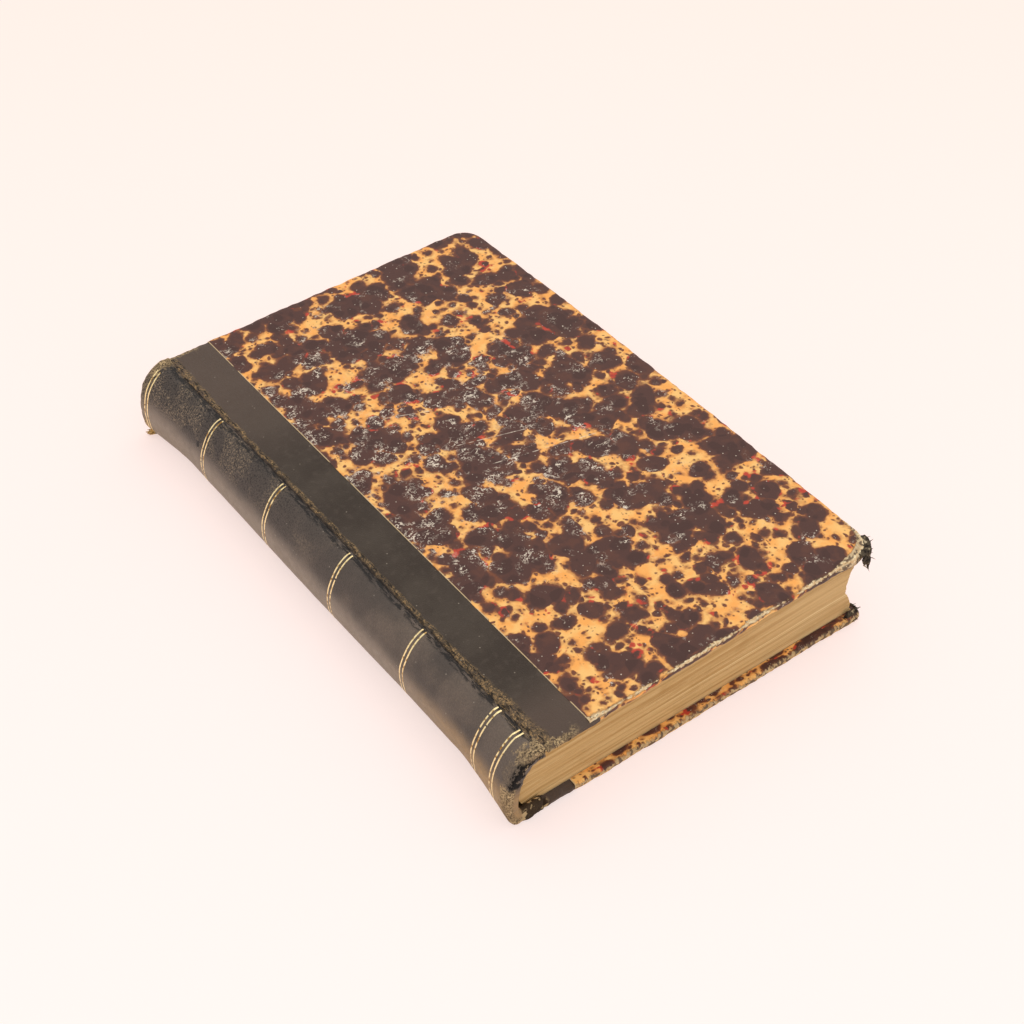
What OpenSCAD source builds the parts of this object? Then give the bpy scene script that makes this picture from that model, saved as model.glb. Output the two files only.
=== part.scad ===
// Quarter-leather hardback book, closed and lying on its back cover.
// X runs from the spine to the fore edge, Y from the tail to the head, and Z up.
// The origin is on the surface that the book lies on, under the middle of the closed book.

/* [Covers] */
// Height of the boards, from tail to head
book_h = 190; // [170:1:220]
// Width of a cover, from its hinge line to the fore edge
cover_w = 116.3; // [90:0.1:160]
// Thickness of the bare board
board_t = 2.1; // [1.6:0.1:3]
// Distance from the hinge line to the back edge of the board
board_back = 1.6; // [1.2:0.1:2.4]
// Radius of the fore corners
corner_r = 2; // [1:0.5:4]
// Radius that wear has given the head corner of the front cover
worn_corner_r = 5; // [1:0.5:6]

/* [Closed book] */
// Thickness over both covers at their hinge lines
joint_h = 24.2; // [20:0.1:34]
// Thickness over both covers at the fore edge
fore_h = 28.7; // [24:0.1:38]

/* [Covering] */
// Thickness of the marbled paper on the sides
paper_t = 0.2; // [0.12:0.02:0.3]
// Thickness of the leather on the boards
leather_t = 0.5; // [0.4:0.1:0.8]
// Width of the leather strip from the hinge line to the edge of the paper
leather_w = 15; // [10:0.5:24]
// Width of leather hidden under the edge of the paper
leather_lap = 3; // [2:0.5:5]
// Width of the leather and paper turned in over the edges of the boards
turn_in = 12; // [10:0.5:16]
// Thickness of the endpaper pasted down inside a cover
pastedown_t = 0.15; // [0.1:0.05:0.3]
// Side of the cloth tips on the fore corners
tip_leg = 9; // [7:0.5:10]

/* [Pages] */
// Distance that the boards stand out past the pages at head and tail
head_square = 2.2; // [1.5:0.1:4]
// Distance that the boards stand out past the pages at the fore edge
fore_square = 2.4; // [1.5:0.1:4]
// Play between the pages and the covers
play = 0.3; // [0.3:0.05:0.5]
// Depth of the hollow in the fore edge
fore_hollow = 3.3; // [1:0.1:4]
// Distance that the lower leaves have slipped towards the fore edge
slip = 1.2; // [0.2:0.1:2]
// Thickness of the bundle of leaves that has slipped
slip_t = 8; // [3:0.5:12]
// Height of the shoulders over the leaves beside them
shoulder_h = 1.35; // [0.8:0.05:1.4]
// Number of cords that the sections are sewn on
cord_count = 5; // [3:1:7]
// Gap between the shoulders and the back edges of the boards
shoulder_gap = 0.5; // [0.4:0.1:0.8]
// Width over which a shoulder rises
shoulder_slope = 0.5; // [0.3:0.1:0.8]
// Radius of a sewing cord
cord_r = 0.7; // [0.4:0.1:1]
// Distance of the outer sewing cords from the ends of the pages
cord_inset = 18; // [10:1:30]
// Thickness of the lining glued to the back
lining_t = 0.3; // [0.15:0.05:0.3]
// Thickness of the glue under the lining and the card
glue_t = 0.05; // [0.02:0.01:0.1]

/* [Spine] */
// Thickness of the leather on the spine
spine_leather_t = 0.9; // [0.6:0.05:1]
// Thickness of the card that stiffens the spine
inlay_t = 0.7; // [0.4:0.05:0.8]
// Gap of the hollow back, between the lining and the card
hollow_gap = 1.1; // [1.1:0.1:2]
// Gap between a hinge line and the leather of the spine
joint_gap = 0.4; // [0.4:0.05:0.8]
// Gap between a hinge line and the leather of its cover
lip_gap = 0.6; // [0.4:0.05:0.8]
// Distance of the spine below the outer faces of the covers
spine_drop = 0.4; // [0.3:0.05:0.6]
// Distance of the middle of the spine's round behind the hinge lines
spine_set_in = 1.3; // [0.8:0.1:1.6]
// Distance that the leather widens at the head and tail
cap_flare = 1.1; // [0.4:0.1:1.6]
// Length over which it widens
flare_len = 20; // [10:1:30]
// Depth of a rolled cap, from its outer rim to its inner rim
cap_depth = 3.6; // [3:0.1:4.2]
// Radius of the cord rolled into each cap
cap_cord_r = 0.5; // [0.3:0.05:0.6]
// Thickness of the leather turned in behind the caps
cap_turn_t = 0.3; // [0.15:0.05:0.3]

/* [Gold tooling] */
// Distances of the upper double fillets from the head
head_fillets = [6, 34, 70.5, 104]; // [5:0.5:110]
// Distances of the lower double fillets from the tail
tail_fillets = [8, 17, 50]; // [5:0.5:55]
// Width of a line of gold
fillet_w = 0.45; // [0.3:0.05:0.6]
// Distance between the two lines of a fillet
fillet_pitch = 1.35; // [1:0.05:2]
// Depth that the gold is pressed into the leather
fillet_depth = 0.12; // [0.06:0.02:0.2]
// Height of the gold over the leather
fillet_proud = 0.06; // [0.02:0.02:0.1]

/* [Hidden] */
$fn = 96;

// A cover's layers, counted from its outer face inwards
wrap_t = 2 * paper_t + board_t;
cover_t = wrap_t + pastedown_t;
leather_reach = leather_w + leather_lap;
pastedown_x = board_back + 0.8;

// The hinges, the spine's round and the middle of the book's thickness at the joint
mid_z = joint_h / 2;
cover_tilt = asin((fore_h - joint_h) / cover_w);
spine_r = mid_z - spine_drop;
cap_outer_r = spine_r + cap_flare;
hinge_x = (cap_outer_r - spine_set_in - cover_w) / 2;
spine_cx = hinge_x + spine_set_in;
inlay_r = spine_r - spine_leather_t - glue_t - inlay_t;

// The pages
page_h = book_h - 2 * head_square;
page_z = cover_t + play;
fore_x = hinge_x + cover_w - fore_square;
fore_top_z = page_top(fore_x);
fore_mid_z = (page_z + fore_top_z) / 2;
fore_hollow_r = arc_radius(fore_top_z - page_z, fore_hollow);
neck_x = hinge_x + board_back - shoulder_gap;
shoulder_x = neck_x - shoulder_slope;
shoulder_half = mid_z - page_z + shoulder_h;
back_x = spine_cx - inlay_r + hollow_gap + lining_t + glue_t;
back_r = arc_radius(2 * shoulder_half, shoulder_x - back_x);
back_cx = back_x + back_r;

// The rolled caps stand between the ends of the pages and the ends of the boards
// arcs are half the angle that each piece covers, measured from the middle of the spine
cap_gap = 0.1;
cap_r = (head_square - cap_gap) / 2;
cap_y = book_h / 2 - cap_r;
inlay_arc = 60;
lining_arc = 48;
lining_inset = 3;
turn_arc = 50;
leather_arc = 88;
cap_cord_arc = 78;
fillet_heights = [for (d = head_fillets) book_h / 2 - d, for (d = tail_fillets) d - book_h / 2];

// Height of the upper face of the pages, which follows the tilted front cover
function page_top(x) = joint_h + (x - hinge_x) * tan(cover_tilt) - page_z / cos(cover_tilt);

// Radius of the arc that rises by a given amount over a chord
function arc_radius(chord, rise) = (pow(chord / 2, 2) + pow(rise, 2)) / (2 * rise);

// Outer radius of the spine's leather at a distance y from its middle
function spine_radius(y) =
  spine_r + cap_flare * pow(max(0, (abs(y) - book_h / 2 + flare_len) / flare_len), 2);

// Stands a cover, drawn with its hinge line at the origin and its outer face down, under the pages
module as_back() {
  translate([hinge_x, 0, 0]) children();
}

// Lays the same cover over the pages, with its outer face up
module as_front() {
  translate([hinge_x, 0, joint_h]) rotate([0, -cover_tilt, 0]) mirror([0, 0, 1]) children();
}

// What rounding takes off the corner of a board, with the corner at the origin
module corner_waste(r) {
  difference() {
    translate([-r, -r]) square(2 * r);
    translate([-r, -r]) circle(r);
  }
}

// Outline of a cover's layer from a line near the hinge to the other three edges
module cover_outline(from_x, inset, head_r) {
  far_x = cover_w - inset;
  half_h = book_h / 2 - inset;
  difference() {
    translate([from_x, -half_h]) square([far_x - from_x, 2 * half_h]);
    translate([far_x, half_h]) corner_waste(head_r - inset);
    translate([far_x, -half_h]) mirror([0, 1]) corner_waste(corner_r - inset);
  }
}

// The middle of a cover's inner side, which the turn-ins leave bare
module bare_outline(inset) {
  translate([board_back, -(book_h / 2 - turn_in - inset)])
    square([cover_w - turn_in - inset - board_back, book_h - 2 * (turn_in + inset)]);
}

// Board, pared back where the thicker leather lies on it
module board_form(head_r) {
  translate([0, 0, paper_t]) linear_extrude(board_t) cover_outline(leather_reach, paper_t, head_r);
  translate([board_back, leather_t - book_h / 2, leather_t])
    cube([leather_reach - board_back + 1, book_h - 2 * leather_t, wrap_t - 2 * leather_t]);
  translate([0, 0, leather_t]) linear_extrude(wrap_t - paper_t - leather_t) bare_outline(0);
}

module board(head_r) {
  color("#8a6b4c") board_form(head_r);
}

// Cloth on a fore corner, wrapped round the board from outside to inside
module tip_zone(side) {
  translate([cover_w, side * book_h / 2, -1]) linear_extrude(wrap_t + 2)
    polygon([[1, side], [-tip_leg, side], [-tip_leg, 0], [0, -side * tip_leg], [1, -side * tip_leg]]);
}

module corner_tip(side, head_r) {
  color("#34382f") intersection() {
    difference() {
      linear_extrude(wrap_t) cover_outline(leather_reach, 0, head_r);
      board_form(head_r);
    }
    tip_zone(side);
  }
}

// Marbled paper over the side of the board, turned in over three of its edges
module side_paper_form(head_r) {
  difference() {
    linear_extrude(wrap_t) cover_outline(leather_w, 0, head_r);
    board_form(head_r);
    translate([0, paper_t - book_h / 2, paper_t])
      cube([leather_reach, book_h - 2 * paper_t, wrap_t - 2 * paper_t]);
    translate([0, 0, wrap_t - paper_t]) linear_extrude(1) bare_outline(0);
    for (side = [-1, 1]) tip_zone(side);
  }
}

module side_paper(head_r) {
  color("#e09a55") side_paper_form(head_r);
}

// Leather strip along the joint, turned in at head and tail, with its fore side under the paper
module side_leather(head_r) {
  color("#584b44") difference() {
    translate([lip_gap, -book_h / 2, 0]) cube([leather_reach - lip_gap, book_h, wrap_t]);
    board_form(head_r);
    side_paper_form(head_r);
    translate([0, 0, wrap_t - paper_t]) linear_extrude(1) bare_outline(0);
    translate([0, -book_h / 2 - 1, leather_t]) cube([board_back, book_h + 2, wrap_t]);
  }
}

// Outline of the endpaper inside a cover
module pastedown_outline() {
  translate([pastedown_x, -page_h / 2]) square([cover_w - fore_square - pastedown_x, page_h]);
}

// Endpaper pasted inside the cover, over the turn-ins and down onto the bare board between them
module pastedown() {
  color("#cdb48a") difference() {
    union() {
      translate([0, 0, wrap_t]) linear_extrude(pastedown_t) pastedown_outline();
      translate([0, 0, wrap_t - paper_t]) linear_extrude(paper_t + pastedown_t) intersection() {
        pastedown_outline();
        bare_outline(0);
      }
    }
    translate([0, 0, cover_t - paper_t]) linear_extrude(1) bare_outline(pastedown_t);
  }
}

// Section of the pages across the book: wedge, shoulders, rounded back and hollow fore edge
module page_section() {
  difference() {
    union() {
      polygon([[neck_x, page_z], [fore_x, page_z], [fore_x, fore_top_z], [neck_x, page_top(neck_x)]]);
      polygon([
        [shoulder_x, mid_z - shoulder_half], [neck_x, page_z],
        [neck_x, page_top(neck_x)], [shoulder_x, mid_z + shoulder_half]
      ]);
      intersection() {
        translate([back_cx, mid_z]) circle(back_r);
        translate([shoulder_x - 2 * back_r, 0]) square([2 * back_r, joint_h]);
      }
    }
    fore_cut(0, page_z + slip_t, fore_h);
    fore_cut(slip, 0, page_z + slip_t);
  }
}

// Hollow of the fore edge, moved out by a slip, between two heights
module fore_cut(out_by, low_z, high_z) {
  intersection() {
    translate([fore_x - fore_hollow + fore_hollow_r + out_by, fore_mid_z]) circle(fore_hollow_r);
    translate([fore_x - 2 * fore_hollow, low_z]) square([4 * fore_hollow_r, high_z - low_z]);
  }
}

// Bends a profile, drawn as distance from the axis and height along the book, round the back
module bent_round(axis_x, arc) {
  translate([axis_x, 0, mid_z]) rotate([-90, 0, 0])
    rotate_extrude(angle = 2 * arc, start = 180 - arc) children();
}

module sewing_cords() {
  color("#b8a27a") for (i = [0 : cord_count - 1])
    bent_round(back_cx, lining_arc)
      translate([back_r - cord_r, (page_h - 2 * cord_inset) * (i / (cord_count - 1) - 0.5)])
        circle(cord_r);
}

// Leaves, sewn, glued, rounded and backed into one block, with saw cuts for the cords
module text_block() {
  color("#c09863") difference() {
    rotate([90, 0, 0]) linear_extrude(page_h, center = true) page_section();
    sewing_cords();
  }
}

module back_lining() {
  color("#a98f6a") bent_round(back_cx, lining_arc)
    translate([back_r + glue_t, lining_inset - page_h / 2]) square([lining_t, page_h - 2 * lining_inset]);
}

module spine_inlay() {
  color("#8a7a63") bent_round(spine_cx, inlay_arc)
    translate([inlay_r, -page_h / 2]) square([inlay_t, page_h]);
}

// Wall of the spine's leather in section along the book, widening towards both ends
module spine_wall_profile() {
  flare_steps = 6;
  ys = [
    for (i = [0 : flare_steps]) -cap_y + (flare_len - cap_r) * i / flare_steps,
    for (i = [flare_steps : -1 : 0]) cap_y - (flare_len - cap_r) * i / flare_steps
  ];
  polygon([
    for (y = ys) [spine_radius(y), y],
    for (i = [len(ys) - 1 : -1 : 0]) [spine_radius(ys[i]) - spine_leather_t, ys[i]]
  ]);
}

// Section of a rolled cap: a bar with round edges, wider than the wall that it ends
module cap_profile() {
  rim_r = cap_outer_r - cap_r;
  inner_r = cap_outer_r - cap_depth + cap_r;
  for (r = [inner_r, rim_r]) translate([r, cap_y]) circle(cap_r);
  translate([inner_r, cap_y - cap_r]) square([rim_r - inner_r, 2 * cap_r]);
}

module cap_cord(end) {
  color("#b8a27a") bent_round(spine_cx, cap_cord_arc)
    translate([cap_outer_r - cap_depth / 2, end * cap_y]) circle(cap_cord_r);
}

// The space that the spine may fill: left of both hinges and between the planes of the covers
module spine_space() {
  translate([hinge_x - joint_gap - 2 * cap_outer_r, -book_h, spine_drop])
    cube([2 * cap_outer_r, 2 * book_h, joint_h - 2 * spine_drop]);
}

// Leather of the spine with its rolled caps, and its turn-ins behind the card
module spine_leather() {
  color("#5f5149") difference() {
    union() {
      intersection() {
        bent_round(spine_cx, leather_arc) {
          spine_wall_profile();
          cap_profile();
          mirror([0, 1]) cap_profile();
        }
        spine_space();
      }
      bent_round(spine_cx, turn_arc) for (end = [0, 1]) mirror([0, end])
        translate([inlay_r - glue_t - cap_turn_t, cap_y - turn_in]) square([cap_turn_t, turn_in]);
    }
    for (end = [-1, 1]) cap_cord(end);
    gold_fillets();
  }
}

// Double lines of gold leaf, pressed into the leather round the spine
module gold_fillets() {
  color("#e2b469") intersection() {
    bent_round(spine_cx, leather_arc) for (at = fillet_heights, line = [-0.5, 0.5]) {
      y = at + line * fillet_pitch;
      translate([spine_radius(y) - fillet_depth, y - fillet_w / 2])
        square([fillet_depth + fillet_proud, fillet_w]);
    }
    spine_space();
  }
}

text_block();
sewing_cords();
back_lining();
spine_inlay();
spine_leather();
cap_cord(1);  // head_cap_cord
cap_cord(-1);  // tail_cap_cord
gold_fillets();
as_back() board(corner_r);  // back_board
as_back() side_leather(corner_r);  // back_leather
as_back() side_paper(corner_r);  // back_paper
as_back() corner_tip(1, corner_r);  // back_head_corner
as_back() corner_tip(-1, corner_r);  // back_tail_corner
as_back() pastedown();  // back_pastedown
as_front() board(worn_corner_r);  // front_board
as_front() side_leather(worn_corner_r);  // front_leather
as_front() side_paper(worn_corner_r);  // front_paper
as_front() corner_tip(1, worn_corner_r);  // front_head_corner
as_front() corner_tip(-1, worn_corner_r);  // front_tail_corner
as_front() pastedown();  // front_pastedown
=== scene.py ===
import math

import bmesh
import bpy
from mathutils import Matrix, Vector, noise


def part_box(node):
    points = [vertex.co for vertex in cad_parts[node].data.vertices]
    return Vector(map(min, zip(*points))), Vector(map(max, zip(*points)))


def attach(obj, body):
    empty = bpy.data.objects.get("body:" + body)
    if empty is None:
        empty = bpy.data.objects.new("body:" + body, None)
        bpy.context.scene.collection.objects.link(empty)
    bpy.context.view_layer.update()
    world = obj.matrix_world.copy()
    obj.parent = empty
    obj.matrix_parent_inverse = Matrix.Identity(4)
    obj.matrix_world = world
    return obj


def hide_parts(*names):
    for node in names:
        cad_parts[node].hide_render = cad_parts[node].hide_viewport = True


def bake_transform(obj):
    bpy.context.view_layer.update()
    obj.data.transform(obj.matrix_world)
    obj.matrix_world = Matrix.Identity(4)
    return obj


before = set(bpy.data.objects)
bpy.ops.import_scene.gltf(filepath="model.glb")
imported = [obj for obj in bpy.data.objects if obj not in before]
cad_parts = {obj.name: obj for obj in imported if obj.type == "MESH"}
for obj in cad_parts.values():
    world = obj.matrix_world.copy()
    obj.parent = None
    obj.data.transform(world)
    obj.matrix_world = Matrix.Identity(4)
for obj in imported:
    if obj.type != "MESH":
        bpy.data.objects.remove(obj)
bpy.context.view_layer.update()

# TEXT BLOCK
# About three hundred leaves of rag paper, sewn in sections, rounded and backed. Their trimmed edges have gone
# tan with age and dust, the sections stand a little out of line, and the lowest ones have slipped forward.
mm = 0.001
page_low, page_high = (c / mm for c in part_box("text_block"))
# all places and sizes are in millimetres, and those of the whole book are the ones of the solids
book_h, cover_w, hinge_x = 190, 116.3, -52.4
joint_h, fore_h = 24.2, 28.7
mid_z = joint_h / 2
cover_tilt = math.asin((fore_h - joint_h) / cover_w)
page_z, shoulder_half, neck_x = 2.95, 10.5, -51.3
fore_hollow, leaf_rows, section_count = 3.3, 72, 22


def linear(colour):
    """Linear red, green, blue and alpha of an sRGB hex colour."""
    parts = [int(colour[i:i + 2], 16) / 255 for i in (1, 3, 5)]
    return [c / 12.92 if c <= 0.04045 else ((c + 0.055) / 1.055) ** 2.4 for c in parts] + [1]


def new_material(name):
    """A material with an empty node tree but for its output."""
    material = bpy.data.materials.new(name)
    material.use_nodes = True
    material.node_tree.nodes.clear()
    material.node_tree.nodes.new("ShaderNodeOutputMaterial")
    return material


def add(material, kind, *values, **named):
    """Adds a node. Values fill its inputs in order, and a name is that of a setting or of an input."""
    node = material.node_tree.nodes.new("ShaderNode" + kind)
    for name, value in named.items():
        if hasattr(node, name):
            setattr(node, name, value)
    inputs = [socket for socket in node.inputs if socket.enabled]
    pairs = list(zip(inputs, values))
    for name, value in named.items():
        if not hasattr(node, name):
            pairs.append((next(s for s in inputs if s.name == name.replace("_", " ")), value))
    for socket, value in pairs:
        if isinstance(value, bpy.types.Node):
            value = next(output for output in value.outputs if output.enabled)
        if isinstance(value, bpy.types.NodeSocket):
            material.node_tree.links.new(value, socket)
        elif value is not None:
            socket.default_value = linear(value) if isinstance(value, str) else value
    return node


def finish_material(material, colour, roughness, bump=None, depth=0.1, **more):
    """Ends a material in one surface shader. Its bump is a height from 0 to 1, its depth in millimetres."""
    surface = add(material, "BsdfPrincipled", Base_Color=colour, Roughness=roughness, **more)
    if bump is not None:
        relief = add(material, "Bump", Height=bump, Distance=depth * mm)
        material.node_tree.links.new(relief.outputs[0], surface.inputs["Normal"])
    output = next(n for n in material.node_tree.nodes if n.type == "OUTPUT_MATERIAL")
    material.node_tree.links.new(surface.outputs[0], output.inputs[0])


def band(material, value, low, high):
    """0 where the value is under low and 1 over high, with a smooth step between them."""
    return add(material, "MapRange", value, low, high, 0.0, 1.0, interpolation_type="SMOOTHSTEP")


def joined(material, operation, values):
    """One value from several, taken two by two through an operation."""
    result = values[0]
    for value in values[1:]:
        result = add(material, "Math", result, value, operation=operation)
    return result


def plus(material, *values):
    """Sum of several values."""
    return joined(material, "ADD", values)


def times(material, *values):
    """Product of several values. Of masks, it is where all of them meet."""
    return joined(material, "MULTIPLY", values)


def most(material, *values):
    """Largest of several values. Of masks, it is all that any of them covers."""
    return joined(material, "MAXIMUM", values)


def far_from(material, value, place=0.0):
    """How far a value lies from a place, on either side of it."""
    return add(material, "Math", plus(material, value, -place) if place else value, operation="ABSOLUTE")


def lay(material, under, over, *where):
    """The colour over laid on the colour under, by the product of shares from 0 to 1."""
    return add(material, "Mix", times(material, *where), under, over, data_type="RGBA", clamp_factor=True)


def clamp(value):
    """The value, held between 0 and 1."""
    return max(0, min(1, value))


def deselect():
    if bpy.context.mode != "OBJECT":
        bpy.ops.object.mode_set(mode="OBJECT")
    bpy.ops.object.select_all(action="DESELECT")


def take(piece, mode="OBJECT"):
    """Makes a piece the only one that operators act on."""
    deselect()
    bpy.context.view_layer.objects.active = piece
    piece.select_set(True)
    bpy.ops.object.mode_set(mode=mode)


def add_block(name, low, high):
    """A cube between two corners in millimetres, open in edit mode."""
    deselect()
    low, high = Vector(low), Vector(high)
    bpy.ops.mesh.primitive_cube_add(size=1, location=(low + high) / 2 * mm, scale=(high - low) * mm)
    bpy.ops.object.transform_apply(location=True, rotation=True, scale=True)
    piece = bpy.context.object
    piece.name = piece.data.name = name
    bpy.ops.object.mode_set(mode="EDIT")
    return piece


def choose(piece, kind, test):
    """Selects the vertices, edges or faces whose middle, in millimetres, passes a test."""
    bpy.ops.mesh.select_mode(type=kind)
    bpy.ops.mesh.select_all(action="DESELECT")
    mesh = bmesh.from_edit_mesh(piece.data)
    for item in {"VERT": mesh.verts, "EDGE": mesh.edges, "FACE": mesh.faces}[kind]:
        points = [item] if kind == "VERT" else item.verts
        item.select = bool(test(sum((v.co for v in points), Vector()) / len(points) / mm, item))
    mesh.select_flush_mode()
    bmesh.update_edit_mesh(piece.data)


def cut_along(piece, axis, cuts):
    """Cuts every edge that runs along an axis, and the faces between them, into equal lengths."""
    def runs_along(middle, edge):
        run = edge.verts[1].co - edge.verts[0].co
        return abs(run[axis]) > 0.99 * run.length and run.length > 4 * mm
    choose(piece, "EDGE", runs_along)
    bpy.ops.mesh.subdivide(number_cuts=cuts)


def reshape(piece, move):
    """Moves each point of a mesh, in millimetres, to where move(x, y, z) puts it."""
    for vertex in piece.data.vertices:
        vertex.co = Vector(move(*(vertex.co / mm))) * mm
    piece.data.update()


def record_on_points(piece, name, measure):
    """Keeps measure(x, y, z), three numbers, on each point of a mesh for its material."""
    values = [c for v in piece.data.vertices for c in measure(*(v.co / mm))]
    piece.data.attributes.new(name, "FLOAT_VECTOR", "POINT").data.foreach_set("vector", values)


def rough(x, y, z, size, seed=0.0):
    """Smooth random height from about -1 to 1 that changes over a size in millimetres."""
    return noise.noise(Vector((x, y, z)) / size + Vector((seed, 1.7 * seed, -seed)))


def close_mesh(piece, smooth_angle=35):
    """Merges doubles, turns the faces outwards and shades the soft edges smooth."""
    take(piece, "EDIT")
    bpy.ops.mesh.select_all(action="SELECT")
    bpy.ops.mesh.remove_doubles(threshold=0.002 * mm)
    bpy.ops.mesh.normals_make_consistent(inside=False)
    bpy.ops.object.mode_set(mode="OBJECT")
    bpy.ops.object.shade_smooth_by_angle(angle=math.radians(smooth_angle))


def page_top(x):
    """Height of the upper face of the leaves, under the tilted front cover."""
    return joint_h + (x - hinge_x) * math.tan(cover_tilt) - page_z / math.cos(cover_tilt)


def back_of_leaves(t):
    """Where the leaf at a share t of the thickness meets the back, whose round has flattened with use."""
    rise = 2 * t - 1
    fall = 4.45 * rise ** 2.5 if rise > 0 else 3.4 * rise ** 4
    return page_low.x + 2.0 + fall, mid_z + shoulder_half * rise


def fore_of_leaves(t):
    """Where the same leaf ends in the hollow fore edge. The lowest leaves have slipped out in two steps."""
    low, high = page_z, page_top(page_high.x)
    z = low + (high - low) * t
    hollow = fore_hollow * (1 - (2 * t - 1) ** 2)
    slip = 0.4 * (1 - clamp((z - 10.4) / 0.9)) + 0.9 * (1 - clamp((z - 8.0) / 2.6))
    return page_high.x - 0.7 - hollow + min(hollow, slip), z


def lay_leaves(u, y, t):
    """Point of the block: u runs from the back over the neck to the fore edge, and t through the leaves."""
    neck = (neck_x, page_z + (page_top(neck_x) - page_z) * t)
    back, fore = back_of_leaves(t), fore_of_leaves(t)
    share, ends = (u / 0.07, (back, neck)) if u < 0.07 else ((u - 0.07) / 0.93, (neck, fore))
    x, z = (a + (b - a) * share for a, b in zip(*ends))
    leaf = t * section_count
    step = 0.30 * rough(0.004 * x, 0, leaf, 1.6, 3) + 0.14 * rough(0.02 * x, 0, leaf, 0.45, 9)
    edge = max(0, abs(y) / (page_high.y) - 0.985) / 0.015
    y -= math.copysign(edge * (0.22 + step) * min(1, 8 * t, 8 * (1 - t)), y)
    if u > 0.985:
        x -= 0.12 + 0.22 * rough(0, 0.01 * y, leaf, 0.7, 5) + 0.1 * rough(0, 0.05 * y, leaf, 0.4, 6)
    return x, y, z


leaves = add_block("leaves", (0, page_low.y, 0), (100, page_high.y, 100))
cut_along(leaves, 2, leaf_rows - 1)
cut_along(leaves, 0, 56)
cut_along(leaves, 1, 90)
bpy.ops.object.mode_set(mode="OBJECT")
record_on_points(leaves, "leaf", lambda u, y, t: (u * 1.15, y, t * 0.225))
reshape(leaves, lambda u, y, t: lay_leaves(u / 100, y, t / 100))
close_mesh(leaves, 40)

# Rag paper, guillotined: matt, with long thin lines where leaves stand proud and dust lies between them
m = new_material("rag_paper_trimmed_edges")
leaf = add(m, "Attribute", attribute_name="leaf").outputs["Vector"]
from_back, _, through = add(m, "SeparateXYZ", leaf).outputs
streaks = []
for stretch in ((0.05, 0.05, 5.0), (0.012, 0.012, 0.75), (0.35, 0.35, 6.0)):
    run = add(m, "VectorMath", leaf, stretch, operation="MULTIPLY")
    streaks.append(add(m, "TexNoise", run, Scale=1.0, Detail=2.0))
fine, broad, short = streaks
stain = add(m, "TexNoise", leaf, Scale=0.09, Detail=3.0)
aged = lay(m, "#bd935a", "#d6b077", band(m, broad, 0.35, 0.65))
aged = lay(m, aged, "#ecd19c", band(m, fine, 0.54, 0.72), 0.5)
aged = lay(m, aged, "#9b7643", band(m, fine, 0.44, 0.3), 0.4)
aged = lay(m, aged, "#ead2a6", band(m, short, 0.7, 0.78), 0.8)
aged = lay(m, aged, "#6e4c24", band(m, short, 0.27, 0.2), 0.7)
aged = lay(m, aged, "#a87f45", band(m, stain, 0.55, 0.75), 0.4)
# pale lines where a section ends, as (place through the leaves, half its width, strength)
pale_lines = ((7.6, 0.16, 1.0), (6.9, 0.07, 0.6), (5.0, 0.12, 0.7), (9.6, 0.07, 0.4), (13.2, 0.06, 0.35))
for place, half, strength in pale_lines:
    on_line = band(m, far_from(m, through, place), half, half * 0.3)
    aged = lay(m, aged, "#f6dda8", on_line, band(m, from_back, 25.0, 80.0), strength)
aged = lay(m, aged, "#dcbb88", band(m, from_back, 60.0, 115.0), 0.35)
outer_leaves = most(m, band(m, through, 22.36, 22.46), band(m, through, 0.14, 0.04))
aged = lay(m, aged, "#dfc08c", outer_leaves, 0.7)
finish_material(m, aged, 0.85, bump=fine, depth=0.12, Specular_IOR_Level=0.25)
leaves.data.materials.append(m)
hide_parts("text_block")
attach(leaves, "pages_and_spine")

# CAP CORDS
# A hemp cord is rolled into each cap. It is hidden in a whole book, so its solid stays, with hemp's twist.
hemp = new_material("hemp_cord_twisted")
place = add(hemp, "TexCoord").outputs["Object"]
twist = add(hemp, "TexWave", place, Scale=160.0, Distortion=1.0, bands_direction="DIAGONAL").outputs["Fac"]
finish_material(hemp, lay(hemp, "#8f7850", "#cbb88d", twist), 0.8, bump=twist, depth=0.2)
for name in ("head_cap_cord", "tail_cap_cord"):
    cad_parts[name].material_slots[0].material = hemp

# SPINE LEATHER
# Thin calf, dyed black and drawn over a hollow back. At head and tail it is rolled over a cord, and there it
# flares and touches the table. The round is polished by hands, crazed on its upper side and rubbed brown.
axis_x, wall, half_arc, arc_steps = -51.1, 0.9, 88, 76
# (angle up from straight behind, radius) of the round, in the middle of the spine and at its two ends
body_outline = [(-90, 11.7), (-72, 12.3), (-60, 12.8), (-50, 12.5), (-42, 11.9), (-28, 10.75), (-15, 10.0),
                (3, 9.45), (18, 9.35), (34, 9.5), (45, 9.95), (60, 10.8), (72, 11.6), (82, 12.0), (90, 11.9)]
end_outline = [(-90, 12.0), (-64, 13.4), (-52, 15.0), (-42, 14.8), (-33, 13.6), (-22, 12.7), (0, 11.85),
               (12, 11.75), (32, 12.1), (53, 12.6), (71, 13.3), (81, 13.3), (90, 12.4)]


def along_line(line, at):
    """Value at a place of a bent line through (place, value) points."""
    for (a0, r0), (a1, r1) in zip(line, line[1:]):
        if at <= a1:
            return r0 + (r1 - r0) * max(0, (at - a0) / (a1 - a0))
    return line[-1][1]


def smooth_outline(line, angle):
    return sum(along_line(line, angle + step) for step in (-7, -3.5, 0, 3.5, 7)) / 5


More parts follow.
